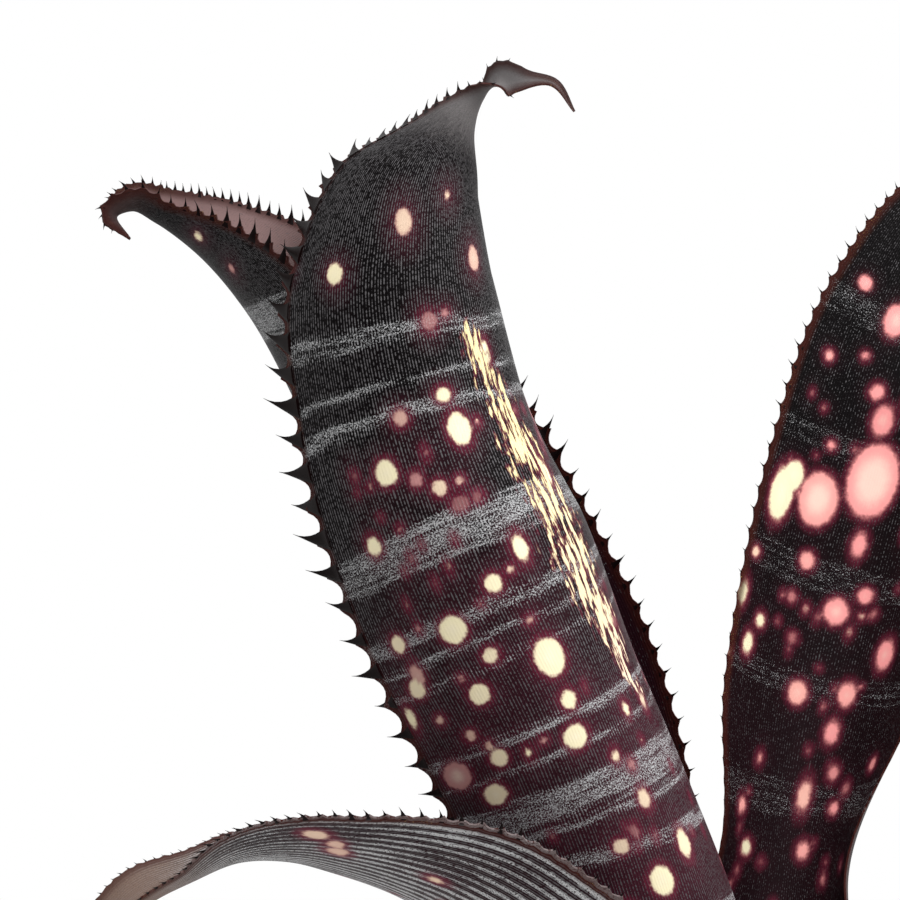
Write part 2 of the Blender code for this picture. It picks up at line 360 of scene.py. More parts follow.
def ring(radius, height, half_width, heading, centre=(0, 0), freedom=0.0):
    """Station of a sheath: the midrib lies on a circle round the centre."""
    angle = math.radians(heading)
    return (centre[0] + radius * math.cos(angle), centre[1] + radius * math.sin(angle), height,
            half_width, radius, heading, 0, freedom)


def blade(x, y, z, half_width, cup, heading, roll=0, freedom=1.0):
    """Station of a free blade: cup is half the angle that the section wraps through."""
    return (x, y, z, half_width, half_width / math.radians(cup), heading, roll, freedom)


# Stations of each leaf from its base to its tip, in millimetres and degrees: the
# midrib's place, half the flat width, the section's radius, the heading that the
# outer face turns to, the roll, and the freedom from the sheath.
STATIONS = {
    "inner_leaf": (
        ring(9, 104, 24, 165), ring(15, 122, 32, 165), ring(20, 150, 36, 165),
        ring(20.5, 172, 37, 169, (-1, 2)), ring(22, 200, 41, 159, (-9, 4), 0.5),
        ring(22.5, 240, 45, 156, (-23, 8), 1), blade(-66.5, 19, 273, 50, 100, 155, -3),
        blade(-78.5, 17.5, 300.5, 44, 92, 170, -6), blade(-89.5, 14, 319.5, 30, 80, 176, -8),
        blade(-100.5, 10, 331.5, 16.5, 78, 180, -8), blade(-107.5, 7, 336.5, 9, 85, 180, -10),
        blade(-112, 4, 338.5, 6.5, 90, 180, -10), blade(-115, 2, 337, 4.6, 70, 180),
        blade(-112, 1, 332.5, 1, 60, 180)),
    "front_leaf": (
        ring(11, 103, 28, -65), ring(17, 122, 36, -65), ring(22, 150, 38, -65),
        ring(22.5, 172, 37, -65, (-5, 0)), ring(22.5, 200, 37, -65, (-14, 0), 0.5),
        ring(24.5, 218, 37, -60, (-23, 0), 0.8), ring(27, 242, 37.5, -57, (-35.3, -1), 1),
        ring(26.5, 274, 41, -63, (-46.5, -2), 1), ring(23.8, 302, 38, -60, (-57, -3), 1),
        blade(-49.5, -23.5, 326, 34, 94, -59), blade(-49, -20.5, 343, 23, 92, -59),
        blade(-45.3, -18, 353.5, 7.6, 84, -60), blade(-42, -17, 358.3, 3.5, 60, -60, 25),
        blade(-38.5, -17, 361.5, 4, 30, -60, 85), blade(-33, -17, 361.6, 2.2, 30, -50, 60),
        blade(-28, -17, 361, 1.3, 40, -40, 30), blade(-24, -17, 355.5, 0.5, 40, -40)),
    "back_right_leaf": (
        ring(13, 102, 26, 46), ring(19.5, 122, 30, 46), ring(25, 150, 31, 46),
        ring(24.5, 176, 29, 52, (8, 6)), blade(26.5, 37, 198, 22.5, 92, 66, 0, 0.5),
        blade(35, 50, 231, 28.5, 80, 72), blade(42.5, 58, 256, 30.5, 74, 72),
        blade(50.5, 64, 281, 31, 68, 70), blade(63, 72, 318, 28, 62, 65),
        blade(75, 79, 342, 21, 60, 60), blade(88, 86, 356, 11, 60, 55),
        blade(98, 91, 360, 3.4, 60, 50), blade(106, 94, 357, 0.5, 60, 45)),
    "front_left_leaf": (
        ring(15, 101, 34, -125), ring(22, 122, 40, -125), ring(27.5, 150, 40, -125),
        blade(-25, -31, 178, 31, 70, -134, 0, 0.5), blade(-40, -41, 197, 31, 60, -143),
        blade(-57, -48, 209, 32, 50, -155, 5), blade(-68, -51, 213.5, 27, 40, -165, 10),
        blade(-77, -53, 216, 23, 34, -170, 10), blade(-86, -54, 216, 18, 32, -172, 8),
        blade(-94, -54, 213, 12.5, 32, -175), blade(-104, -55, 208, 11, 40, -175, -10),
        blade(-111, -56, 198, 8, 45, -175, -20), blade(-115, -56, 188, 4, 50, -175, -20),
        blade(-117, -56, 176, 0.5, 50, -175)),
    "front_right_leaf": (
        ring(17, 100, 36, -30), ring(24.5, 122, 40, -30), ring(30, 148, 40, -30),
        blade(36, -22, 168, 33, 68, -30, 0, 0.5), blade(54, -32, 184, 32, 60, -28),
        blade(80, -44, 191, 28, 54, -26), blade(106, -55, 183, 22, 50, -25),
        blade(127, -64, 163, 14, 50, -25), blade(139, -69, 140, 4, 50, -25),
        blade(143, -71, 128, 0.5, 50, -25)),
    "back_left_leaf": (
        ring(19, 99, 36, 130), ring(26.5, 120, 40, 130), ring(32, 142, 40, 130),
        blade(-28, 38, 157, 34, 68, 128, 0, 0.5), blade(-42, 58, 169, 32, 60, 125),
        blade(-57, 82, 173, 28, 54, 125), blade(-72, 105, 167, 21, 50, 125),
        blade(-82, 121, 153, 13, 50, 125), blade(-88, 130, 136, 4, 50, 125),
        blade(-90, 133, 126, 0.5, 50, 125)),
    "basal_leaf_front": (
        ring(21, 98, 32, -80), ring(28.5, 114, 34, -80),
        blade(6, -39, 130, 30, 64, -80, 0, 0.5), blade(9, -54, 141, 26, 55, -80),
        blade(12, -70, 145, 20, 50, -80), blade(15, -87, 140, 13, 50, -80),
        blade(17, -99, 128, 4.5, 50, -80), blade(18, -104, 118, 0.5, 50, -80)),
    "basal_leaf_back": (
        ring(23, 97.5, 34, 50), ring(30, 110, 34, 50),
        blade(27, 32, 124, 29, 64, 50, 0, 0.5), blade(37, 44, 133, 24, 55, 50),
        blade(49, 58, 136, 18, 50, 50), blade(60, 71, 131, 11, 50, 50),
        blade(67, 79.5, 121, 4, 50, 50), blade(70, 83, 112, 0.5, 50, 50)),
}

# Spots of the two leaves that show most: length along the leaf, distance from the
# midrib, radius, stretch along the leaf, and warmth from crimson 0 to cream 1.
FRONT_SPOTS = (
    (242, -7.5, 1.8, 1.5, .55), (234, -21.5, 2, 1, .95), (248, 1, 0.8, 1.5, .60),
    (236, 8, 2, 1.6, .50), (236, -33.5, 0.7, 1, .80), (224, -4.5, 1.7, 1.2, .15),
    (225, -1, 1, 1, .30), (210, -5, 1.7, 1, .75), (208, -14, 1.6, 1, .45),
    (203, -4, 2.5, 1.4, 1), (200, -20, 2.5, 1, .95), (197, -15, 1.4, 1.1, .30),
    (194, -11.5, 1.7, 1, .60), (194, -7.5, 1, 1, .50), (199, -24, 0.6, 1, .60),
    (190, -21.5, 0.7, 1, .20), (189, -28, 1.8, 1.2, .90), (190, -9, 2, 0.8, 0),
    (190, -5.5, 1.2, 1, 0), (178, -1.5, 1.8, 1.7, .95), (175, -5, 0.9, 1, .60),
    (174, -9, 2, 1, .95), (169, -19.5, 2.9, 1, .90), (170, -31.5, 1.9, 1, .70),
    (162, -15, 1.7, 1, .70), (157, -5, 3.2, 1.3, .80), (161, -31.5, 2.1, 1, .70),
    (160, -22, 0.9, 1, .40), (156, -20, 2.3, 1, .75), (148, -5, 1.8, 1.2, .80),
    (141, -6.5, 2.7, 1, .90), (156, -35.5, 1.3, 2, .80), (154, -29.5, 1.1, 1, .50),
    (149, -25, 1.3, 1, .50), (146, -22.5, 1, 1, .50), (143, -21.5, 2, 1, .70),
    (136, -25, 2.6, 1, .70), (142, -31, 3.2, 1, .35), (108, -0.5, 2.8, 1.2, .90),
    (216, 6.5, 1.6, 1.8, 1), (190, 13, 1.6, 2, .9), (158, 14, 1.6, 1.8, .9),
    (140, 13.5, 1.2, 2, .60), (134, -0.5, 1.1, 1.4, .70), (143, -12.5, 0.9, 1, .40),
    (165, -5.5, 0.9, 1, .50), (117, -6, 1.8, 1, .60), (124, 2, 1.6, 1.5, .60),
    (113, 7.5, 2, 1.6, .70), (103, -8.5, 2.2, 1.3, .80))
BACK_RIGHT_SPOTS = (
    (236, 20, 2, 1, .35), (231, 10, 3, 1.4, .35), (218, 22.5, 1.3, 1, .40),
    (214, 9, 1.8, 1.1, .30), (208, 6, 2.6, 1.5, .25), (194, 4.5, 6, 1.5, .35),
    (186, 15.5, 5, 1.3, .40), (184, 25, 3.4, 2, .95), (189, 23, 3, 1.2, .90),
    (179, 3.5, 1.8, 1.8, .30), (172, 14, 2, 1.1, .40), (169, 28, 1.4, 1, .60),
    (159, 29, 1.6, 2, .90), (163, 4.5, 3, 1.1, .35), (168, -1, 2, 1, .30),
    (155, 22, 1.5, 1.2, .80), (149, 24, 1.7, 1.6, .95), (143, 8.5, 2.4, 1.2, .45),
    (145, -2.5, 2.2, 1.4, .40), (155, -9.5, 2.4, 1.6, .30), (136, -1, 1.8, 1.6, .30),
    (127, -3.5, 1.4, 1.4, .20), (121, 2, 1.6, 2.4, .50), (119, -5.5, 1.4, 1.2, .30),
    (108, 13.5, 1.6, 1.2, .95), (109, 0, 1.6, 1.4, .40), (239, -5, 2.4, 1.2, .30),
    (225, -12, 3, 1.3, .40), (204, -14, 2, 1, .30), (250, 3, 1.6, 1, .30),
    (258, -2, 1.2, 1, .30), (179, -16, 2.5, 1.3, .40), (164, -19.5, 1.6, 1, .50),
    (189, -8, 1.4, 1, .20), (214, -3, 1, 1, .20), (199, 16, 1.2, 1, .30), (221, 14, 1, 1, .30))

# Looks of each leaf. bands: length along the leaf and half width of each silver band.
# strewn: how many small spots lie on it at random. pitch: distance between spines;
# sparse: how much wider apart the right margin's stand. spines: longest spine of the
# left and of the right margin. columns and step: fineness of the surface. dusting:
# scurf between the bands; inside: how much of it is on the inner face. maroon: warmth
# of the lower ground. mauve: lengths between which the inner face pales into painted
# backlight shining through the thin leaf. dashes: length, distance from the midrib and
# half width of a stretch of cream dashes. stripes: distance between lengthwise stripes
# of scurf. pink and soft: colour and softness of the spots. glow: strength of the
# spots' painted backlight, an emission that makes them shine though no lamp is there.
# tip: lengths between which the skin turns to the tip's colour, and that colour.
LEAVES = {
    "inner_leaf": dict(
        spots=((253, 9, 1.2, 1, .9), (244, 12, 1.0, 1.2, .4)), strewn=26,
        bands=((232, 4), (205, 3), (180, 4), (150, 3), (120, 4)), pitch=5.5, sparse=1.6,
        spines=(4.4, 5.8),
        columns=73, step=1.1, seed=11, dusting=.30, inside=.1, maroon=.75,
        painted_backlit_mauve=(226, 246), tip=(262, 272, (.100, .060, .058))),
    "front_leaf": dict(
        spots=FRONT_SPOTS, strewn=60,
bands=((223.5, .9), (221.5, .5), (214, .6), (208.5, 1.1), (186, 3.2), (181.5, .8),
               (170, 1.5), (165, .6), (160, .4), (145, 1.2), (139, .6), (129.5, 3.4), (124, .8),
               (116, 1.4), (98, 3)), pitch=7.0, spines=(7.4, 4.8),
        columns=121, step=.95, seed=12, dusting=.30, inside=.5, maroon=1.0,
        dashes=((221, 3, 3.2), (212, 6, 4), (204, 8, 5.5), (190, 10, 7.5), (178, 11, 8.5),
                (165, 11, 7), (154, 12, 5), (142, 13, 3)),
        tip=(256, 268, (.215, .200, .200))),
    "back_right_leaf": dict(
        spots=BACK_RIGHT_SPOTS, strewn=70,
        bands=((230, 4), (200, 3), (170, 4), (145, 3), (120, 4)), pitch=5.0, spines=(3.0, 2.2),
        # glow is painted backlight: the spots give off their pale colour as light.
        columns=97, step=.85, seed=13, dusting=.10, inside=1.0, maroon=.25, painted_backlight_glow=.06, soft=.35,
        pink=(.930, .340, .330)),
    "front_left_leaf": dict(
        spots=((150, 18, 1.6, 1.2, .55), (147, 16, 1.5, 1, .5), (146, 13.5, 1.6, 1.3, .5)),
        strewn=8, bands=((70, 4), (95, 3)), pitch=4.7, spines=(2.0, 3.3), columns=73,
        step=1.0, seed=14, dusting=.50, inside=.8, maroon=.4, stripes=2.4,
        tip=(158, 182, (.210, .140, .110))),
    "front_right_leaf": dict(
        spots=(), strewn=60, bands=((200, 3), (175, 4), (150, 2), (130, 4), (105, 3)),
        pitch=6.0, spines=(4.2, 4.2), columns=73, step=1.1, seed=15, dusting=.34, inside=.6,
        maroon=.8, tip=(208, 224, (.060, .030, .024))),
    "back_left_leaf": dict(
        spots=(), strewn=55, bands=((180, 3), (160, 2), (140, 4), (115, 3)), pitch=6.0,
        spines=(4.2, 4.2), columns=73, step=1.1, seed=16, dusting=.34, inside=.6, maroon=.7,
        tip=(186, 202, (.060, .030, .024))),
    "basal_leaf_front": dict(
        spots=(), strewn=30, bands=((95, 2), (80, 3), (62, 3)), pitch=5.5, spines=(3.8, 3.8),
        columns=57, step=1.1, seed=17, dusting=.40, inside=.6, maroon=.6,
        tip=(100, 116, (.090, .052, .034))),
    "basal_leaf_back": dict(
        spots=(), strewn=24, bands=((90, 2), (76, 3), (60, 3)), pitch=5.5, spines=(3.8, 3.8),
        columns=57, step=1.1, seed=18, dusting=.40, inside=.6, maroon=.6,
        tip=(94, 110, (.090, .052, .034))),
}


def hermite(knots, values, at):
    """Cubic Hermite curve through the values at the knots, and its slope."""
    slopes = np.gradient(values, knots, axis=0)
    span = np.clip(np.searchsorted(knots, at, side="right") - 1, 0, len(knots) - 2)
    length = (knots[span + 1] - knots[span])[:, None]
    t = (at - knots[span])[:, None] / length
    curve = ((2 * t**3 - 3 * t**2 + 1) * values[span]
             + (t**3 - 2 * t**2 + t) * length * slopes[span]
             + (3 * t**2 - 2 * t**3) * values[span + 1]
             + (t**3 - t**2) * length * slopes[span + 1])
    slope = (6 * (t**2 - t) / length * (values[span] - values[span + 1])
             + (3 * t**2 - 4 * t + 1) * slopes[span] + (3 * t**2 - 2 * t) * slopes[span + 1])
    return curve, slope


def leaf_sheet(stations, at, shares):
    """Middle surface of a leaf as a function of two parameters.

    The place at a length and a share of the half width is the midrib at that
    length, plus the running sum of (cos a, sin a) across the section, where the
    angle a grows with the share by the cup angle and eases towards the margins
    on the free blade. Gives the points, the half width and the freedom.
    """
    stations = np.array(stations, dtype=float)
    steps = np.linalg.norm(np.diff(stations[:, :3], axis=0), axis=1)
    knots = np.concatenate([[0], np.cumsum(steps)])
    curve, slope = hermite(knots, stations, at)
    midrib, half_width, radius = curve[:, :3], curve[:, 3], curve[:, 4]
    freedom = np.clip(curve[:, 7:8], 0, 1)
    heading, roll = np.radians(curve[:, 5]), np.radians(curve[:, 6:7])
    forward = unit((1 - freedom) * np.array([0, 0, 1.0]) + freedom * unit(slope[:, :3]))
    level = np.stack([-np.sin(heading), np.cos(heading), np.zeros_like(heading)], axis=1)
    keel = unit(np.cross(level, forward))
    side = np.cross(forward, keel)
    keel, side = (keel * np.cos(roll) + side * np.sin(roll),
                  side * np.cos(roll) - keel * np.sin(roll))
    cup = np.clip(half_width / radius, 0.1, MAX_CUP)[:, None]
    angle = cup * FINE * (1 + freedom * (0.15 - 0.30 * FINE**2))
    column = np.rint((np.asarray(shares) + 1) / 2 * (len(FINE) - 1)).astype(int)
    across = running_sum(np.cos(angle))[:, column] * half_width[:, None]
    inward = running_sum(np.sin(angle))[:, column] * half_width[:, None]
    points = (midrib[:, None] + across[..., None] * side[:, None]
              - inward[..., None] * keel[:, None])
    return points, half_width, freedom[:, 0], knots[-1]


def running_sum(values):
    """Trapezoid integral of each row over FINE from its middle."""
    total = np.cumsum((values[:, 1:] + values[:, :-1]) / 2 * (FINE[1] - FINE[0]), axis=1)
    total = np.concatenate([np.zeros((len(values), 1)), total], axis=1)
    return total - total[:, len(FINE) // 2][:, None]


def spine_size(share, half_width, widest, freedom):
    """Size of a spine as a share of the longest, at a share of the leaf's length.

    A power of the blade's width, less low down, on the sheath and at the tip.
    """
    size = np.clip(half_width / widest, 0.1, 1)**0.55
    return (size * smooth_step(0.35, 0.9, freedom) * smooth_step(1.8, 5, half_width)
            * (0.60 + 0.40 * smooth_step(0.45, 0.75, share)))


def spine_phase(stations, length, pitch, sparse):
    """Count of spines passed along each margin, and of rows wanted, at fine steps.

    The count is the running sum of the margin's own speed over the local pitch,
    which shrinks with the blade's width and grows on the sheath.
    """
    at = np.linspace(0, length, 2400)
    points, half_width, freedom, _ = leaf_sheet(stations, at, (-1, 0, 1))
    speed = np.linalg.norm(np.gradient(points, at, axis=0), axis=2)
    local = (pitch * np.clip(half_width / half_width.max(), 0.36, 1)
             * (1 + 0.6 * (1 - freedom)))
    turns = np.stack([np.cumsum(speed[:, 0] / local),
                      np.cumsum(speed[:, 2] / (local * sparse))]) * at[1]
    travel = np.cumsum(np.maximum(speed.max(axis=1), 0.8) / (1 + 1.2 * (1 - freedom))) * at[1]
    return at, turns, travel


def nearest_spot(spots, along, across):
    """Distance in millimetres to the nearest spot's rim, less than 0 inside, and its warmth."""
    spots = np.array(spots, dtype=float)
    away = np.hypot((across[:, None] - spots[:, 1]) / spots[:, 2],
                    (along[:, None] - spots[:, 0]) / (spots[:, 2] * spots[:, 3]))
    away = (away - 1) * spots[:, 2]
    nearest = away.argmin(axis=1)
    return np.minimum(away[np.arange(len(along)), nearest], FAR_FROM_SPOT), spots[nearest, 4]


def strewn_spots(look, length, rng):
    """Random small spots on the open part of a leaf."""
    count = look["strewn"]
    along = length * rng.uniform(0.32, 0.72 if look["spots"] else 0.92, count)
    widest = 34 if look["columns"] > 60 else 24
    across = widest * rng.uniform(-0.9, 0.9, count)
    large = 0.0 if look["spots"] else 1.6
    radius = 0.30 + rng.exponential(0.30, count) + large * rng.uniform(0, 1, count)**3
    stretch = rng.uniform(1, 1.7, count)
    warmth = rng.uniform(0, 0.45, count) + 0.5 * (rng.uniform(0, 1, count) > 0.7)
    return np.stack([along, across, radius, stretch, warmth], axis=1)


def dash_cover(dashes, along, across):
    """Share from 0 to 1 that falls off with the distance from a line drawn down the leaf."""
    if not dashes:
        return np.zeros_like(along)
    lengths, places, halves = np.array(dashes[::-1], dtype=float).T
    away = np.abs(across - np.interp(along, lengths, places)) / np.interp(along, lengths, halves)
    ends = (smooth_step(lengths[0] - 6, lengths[0] + 4, along)
            * (1 - smooth_step(lengths[-1] - 2, lengths[-1] + 4, along)))
    return (1 - smooth_step(0.2, 1.25, away)) * ends


def band_cover(bands, along, across):
    """Cover of the silver bands from 0 to 1: each is level across the leaf but for a slow wave."""
    wave = along + 0.5 * np.sin(across * 0.11) + 0.25 * np.sin(across * 0.41 + along * 0.05)
    cover = np.zeros_like(along)
    for place, half in bands:
        away = np.abs(wave - place)
        cover = np.maximum(cover, 1 - smooth_step(half - 0.8, half + 1.2, away))
    return cover


def spine_claws(stations, look, at, turns, margin, widest):
    """Flattened hooked spines along one margin.

    Each is a tube on a curve that leaves the margin outwards and bends forward
    with the square of its length; its two radii shrink as powers of what is left.
    """
    whole = np.arange(math.ceil(turns[0]) + 1, math.floor(turns[-1]))
    offset = 0.5 if margin > 0 else 0.0
    places = np.interp(whole + offset, turns, at)
    share = 0.97 * margin
    points, half_width, freedom, _ = leaf_sheet(stations, places, (share, margin))
    ahead, _, _, _ = leaf_sheet(stations, places + 0.6, (share, margin))
    outward = unit(points[:, 1] - points[:, 0])
    forward = unit(ahead[:, 1] - points[:, 1])
    outward = unit(outward - (outward * forward).sum(1, keepdims=True) * forward)
    normal = np.cross(outward, forward)
    size = spine_size(places / at[-1], half_width, widest, freedom)
    keep = size > SMALLEST_SPINE
    rng = np.random.default_rng(look["seed"] + (100 if margin > 0 else 0))
    longest = look["spines"][margin > 0]
    reach = (longest * size * rng.uniform(0.86, 1.1, len(places)))[keep]
    lean = rng.normal(0.0, 0.09, (2, len(places)))[:, keep]
    points, outward, forward, normal, half_width, places = (
        part[keep] for part in (points, outward, forward, normal, half_width, places))
    rings, sides = np.array([0, .1, .22, .36, .52, .7, .86, 1.0]), 6
    t = rings[None, :, None]
    sunk = 0.25 * reach[:, None, None]
    base = points[:, 1][:, None]
    centre = (base + outward[:, None] * (reach[:, None, None] * t * 1.25 - sunk)
              + forward[:, None] * reach[:, None, None] * ((0.36 + lean[0])[:, None, None] * t**1.8)
              + normal[:, None] * reach[:, None, None] * (lean[1][:, None, None] * t**1.5))
    wide = 0.36 * reach[:, None] * (1 - rings)**1.7 + 0.03
    thick = 0.11 * reach[:, None] * (1 - rings)**1.1 + 0.025
    turn = np.arange(sides) * 2 * math.pi / sides
    tube = (centre[:, :, None]
            + forward[:, None, None] * (wide[..., None] * np.cos(turn))[..., None]
            + normal[:, None, None] * (thick[..., None] * np.sin(turn))[..., None])
    count, per = len(reach), len(rings) * sides
    faces = grid_faces(len(rings), sides)
    # forward x normal points outward, so the tube's quads already face out.
    faces = (faces[None] + np.arange(count)[:, None, None] * per).reshape(-1, 4)
    low = np.arange(sides)[::-1] + np.arange(count)[:, None] * per
    high = np.arange(sides) + per - sides + np.arange(count)[:, None] * per
    mapped = np.stack([np.full(count, margin) * half_width, places], axis=1)
    return (tube.reshape(-1, 3), [*faces.tolist(), *low.tolist(), *high.tolist()],
            np.repeat(mapped, per, axis=0),
            np.tile(np.repeat(0.35 + 0.65 * rings, sides), count))


def build_leaf(name, look, settings, material):
    """Leaf as one closed surface round its middle sheet, with its spines."""
    stations = STATIONS[name]
    length = leaf_sheet(stations, np.array([0.0]), (0,))[3]
    fine_at, turns, travel = spine_phase(stations, length, look["pitch"],
                                        look.get("sparse", 1.0))
    rows = int(travel[-1] / look["step"]) + 1
    at = np.interp(np.linspace(travel[0], travel[-1], rows), travel, fine_at)
    even = np.linspace(-1, 1, look["columns"])
    shares = even + 0.28 * np.sin(math.pi * even) / math.pi
    sheet, half_width, freedom, _ = leaf_sheet(stations, at, shares)
    widest = half_width.max()

    # The margin swells into the foot of each spine and scoops out between spines.
    for column, inner, margin, offset in ((0, 1, 0, 0.0), (-1, -2, 1, 0.5)):
        phase = np.interp(at, fine_at, turns[margin]) - offset
        near = 1 - 2 * np.abs(phase - np.rint(phase))
        swell = (look["spines"][margin] * (0.50 * near**2 - 0.08)
                 * spine_size(at / length, half_width, widest, freedom))
        outward = unit(sheet[:, column] - sheet[:, inner])
        inset = (1 - np.abs(shares)) * half_width[:, None]
        reach = np.clip(1 - inset / 2.2, 0, 1)**2 * (shares > 0 if margin else shares < 0)
        sheet = sheet + outward[:, None] * (swell[:, None] * reach)[..., None]

    normal = unit(np.cross(np.gradient(sheet, axis=1), np.gradient(sheet, axis=0)))
    edge = (1 - np.abs(shares)) * half_width[:, None]
    thick, thin = settings.thickness / MM / 2, settings.margin_thickness / MM / 2
    depth = thin + (thick - thin) * smooth_step(0, 1, np.clip(edge / 9, 0, 1))
    depth = depth * smooth_step(-3, 9, length - at)[:, None]
    outer, inner = sheet + normal * depth[..., None], sheet - normal * depth[..., None]
    wall = np.concatenate([outer, inner[:, ::-1]], axis=1)
    columns = wall.shape[1]
    faces = grid_faces(rows, columns).tolist()
    left = np.arange(look["columns"] - 1)
    for row, turned in ((0, False), (rows - 1, True)):
        mirror = columns - 1 - left
        cap = row * columns + np.stack([left, mirror, mirror - 1, left + 1], axis=1)
        faces += (cap[:, ::-1] if turned else cap).tolist()

    both = np.concatenate([shares, shares[::-1]])
    along = np.repeat(at, columns)
    across = (half_width[:, None] * both).ravel()
    rng = np.random.default_rng(look["seed"])
    spots = np.concatenate([np.array(look["spots"], float).reshape(-1, 5),
                            strewn_spots(look, length, rng)])
    spot, warmth = nearest_spot(spots, along, across)
    outside = np.tile(np.repeat([1.0, 0.0], look["columns"]), rows)
    points = [wall.reshape(-1, 3)]
    uv = [np.stack([widest * np.tile(both, rows), along], axis=1)]
    values = {"spot": [spot], "warmth": [warmth], "outside": [outside],
              "band": [band_cover(look["bands"], along, across)],
              "edge": [np.concatenate([edge, edge[:, ::-1]], axis=1).ravel()],
              "dash": [dash_cover(look.get("dashes"), along, across)],
              "claw": [np.zeros(len(along))]}
    for margin, turn in ((-1, turns[0]), (1, turns[1])):
        claws, claw_faces, claw_uv, claw = spine_claws(stations, look, fine_at, turn,
                                                       margin, widest)
        start = sum(len(part) for part in points)
        faces += [[start + corner for corner in face] for face in claw_faces]
        points.append(claws)
        uv.append(claw_uv)
        for key, number in (("spot", FAR_FROM_SPOT), ("warmth", 0.0), ("outside", 1.0),
                            ("band", 0.0), ("edge", 0.0), ("dash", 0.0)):
            values[key].append(np.full(len(claws), number))
        values["claw"].append(claw)
    return add_piece(name + "_surface", np.concatenate(points) * MM, faces, material,
                     name, np.concatenate(uv) * MM,
                     {key: np.concatenate(parts) for key, parts in values.items()})


def leaf_finish(name, look, settings):
    """Leaf skin: ribbed dark ground, dusted and banded with scurf, with pale spots."""
    skin = Finish(name + "_skin_finish")
    place = skin.millimetres(skin.add("ShaderNodeUVMap", {"uv_map": "leaf"}).outputs[0])
    split = skin.add("ShaderNodeSeparateXYZ", None, {0: place})
    across, along = (Number(skin, split.outputs[index]) for index in (0, 1))
    spot, warmth, band, edge, claw, outside, dash = (
        skin.attribute(key)
        for key in ("spot", "warmth", "band", "edge", "claw", "outside", "dash"))
    pink = look.get("pink", tuple(settings.pink))

    # Ribs, and columns of dots that lie on them.
    drift = skin.noise(skin.scaled(place, (0.10, 0.03, 1.0)), 1.0)
    rib = across / (settings.rib_pitch / MM) + (drift - 0.5) * 1.5
    ridge = (rib * (2 * math.pi)).cosine() * 0.5 + 0.5
    dots = skin.noise(skin.point(rib.nearest() * 3.17, along * 1.9), 1.0, 1.0)
    grain = skin.noise(place, settings.grain / MM, 2.0, 0.75)
    streak = skin.noise(skin.scaled(place, (0.06, 0.9, 1.0)), 1.0, 3.0)
    cloud = skin.noise(skin.scaled(place, (0.05, 0.05, 1.0)), 1.0, 3.0)
    patch = skin.noise(place, 1.8, 3.0)

    # Scurf: rows of dots on the ribs, and denser loose grains in the bands.
    streaky = (streak - 0.5) * 1.9 * (0.3 + band)
    loose = band * 0.85 + (patch - 0.5) * 0.7 * band.rise(0.0, 0.3) + streaky * band.rise(0.0, 0.2)
    if look.get("stripes"):
        stripe = (across * (2 * math.pi / look["stripes"]) + (cloud - 0.5) * 4.0).cosine()
        stripe = (stripe * 0.5 + 0.5) * 0.85 + (patch - 0.5) * 1.1 + (cloud - 0.5) * 1.4
        loose = loose.most(stripe)
    loose = loose.rise(0.05, 0.85)
    fleck = (dots * 0.75 + ridge * 0.42) * (1 - loose) + grain * loose
    scarce = (0.34 - look["dusting"] * (0.6 + 0.8 * cloud)) * 0.5 + (patch - 0.5) * 0.2
    scarce = scarce + (1 - outside) * (0.16 * (1 - look["inside"]))
    scurf = fleck.rise_at(0.715 * (1 - loose) + 0.505 * loose + scarce, 0.075)
    scurf_colour = skin.blend(loose, tuple(settings.dust), tuple(settings.silver))

    # Ground: dark above, maroon below and near the spots.
    low = (along + (cloud - 0.5) * 60).rise(205, 120)
    near_spot = spot.rise(4.5, 0.5)
    ground = skin.blend((low * 0.75 + near_spot * 0.55).least(1.0) * look["maroon"],
                        tuple(settings.dark), tuple(settings.maroon))
    # Painted backlight: the inner face pales towards the top as if light came through the thin
    # leaf.
    if look.get("painted_backlit_mauve"):
        ground = skin.blend(along.rise(*look["painted_backlit_mauve"]) * (1 - outside), ground, PAINTED_BACKLIT_MAUVE)
    base = skin.blend(scurf * (1 - 0.35 * low * (1 - loose)), ground, scurf_colour)
    if look.get("tip"):
        start, end, colour = look["tip"]
        tip = (along + (patch - 0.5) * 8).rise(start, end)
        base = skin.blend(tip * (0.55 + 0.45 * grain.rise(0.35, 0.6)), base, colour)

    # Spots: a crimson halo broken by the ribs round a pale core.
    wobble = (patch - 0.5) * 0.9 + (skin.noise(place, 0.6, 1.0) - 0.5) * 0.5
    reach = spot + wobble
    soft = look.get("soft", 0.0)
    halo = reach.rise(1.50 + soft, 0.0) * (0.55 + 0.45 * (1 - ridge))
    halo = halo * (0.25 + 0.65 * along.rise(238, 216))
    base = skin.blend(halo, base, tuple(settings.crimson))
    core = reach.rise(0.15 + soft, -0.50 - soft) * (0.35 + 0.65 * warmth.rise(0.0, 0.35))
    pale = skin.blend(warmth.rise(0.3, 0.85), pink, tuple(settings.cream))
    pale = skin.blend(reach.rise(-0.8, -4.0) * 0.55, pale, PALE_HEART)
    rim_tone = skin.blend(0.5, tuple(settings.crimson), pink)
    pale = skin.blend(reach.rise(0.1, -0.8), rim_tone, pale)
    base = skin.blend(core, base, pale)

    # Dashes: cream slivers drawn out along the ribs.
    if look.get("dashes"):
        sliver = skin.noise(skin.scaled(place, (0.85, 0.16, 1.0)), 1.0, 3.0, 0.6)
        sliver = sliver * 0.72 + dash * 0.14 + patch * 0.14 + cloud * 0.10 - 0.03
        base = skin.blend(sliver.rise(0.50, 0.57) * dash.rise(0.0, 0.2) * 0.8, base,
                          tuple(settings.crimson))
        base = skin.blend(sliver.rise(0.555, 0.62) * dash.rise(0.0, 0.15), base,
                          skin.blend(low, CREAM_DASH, PINK_DASH))

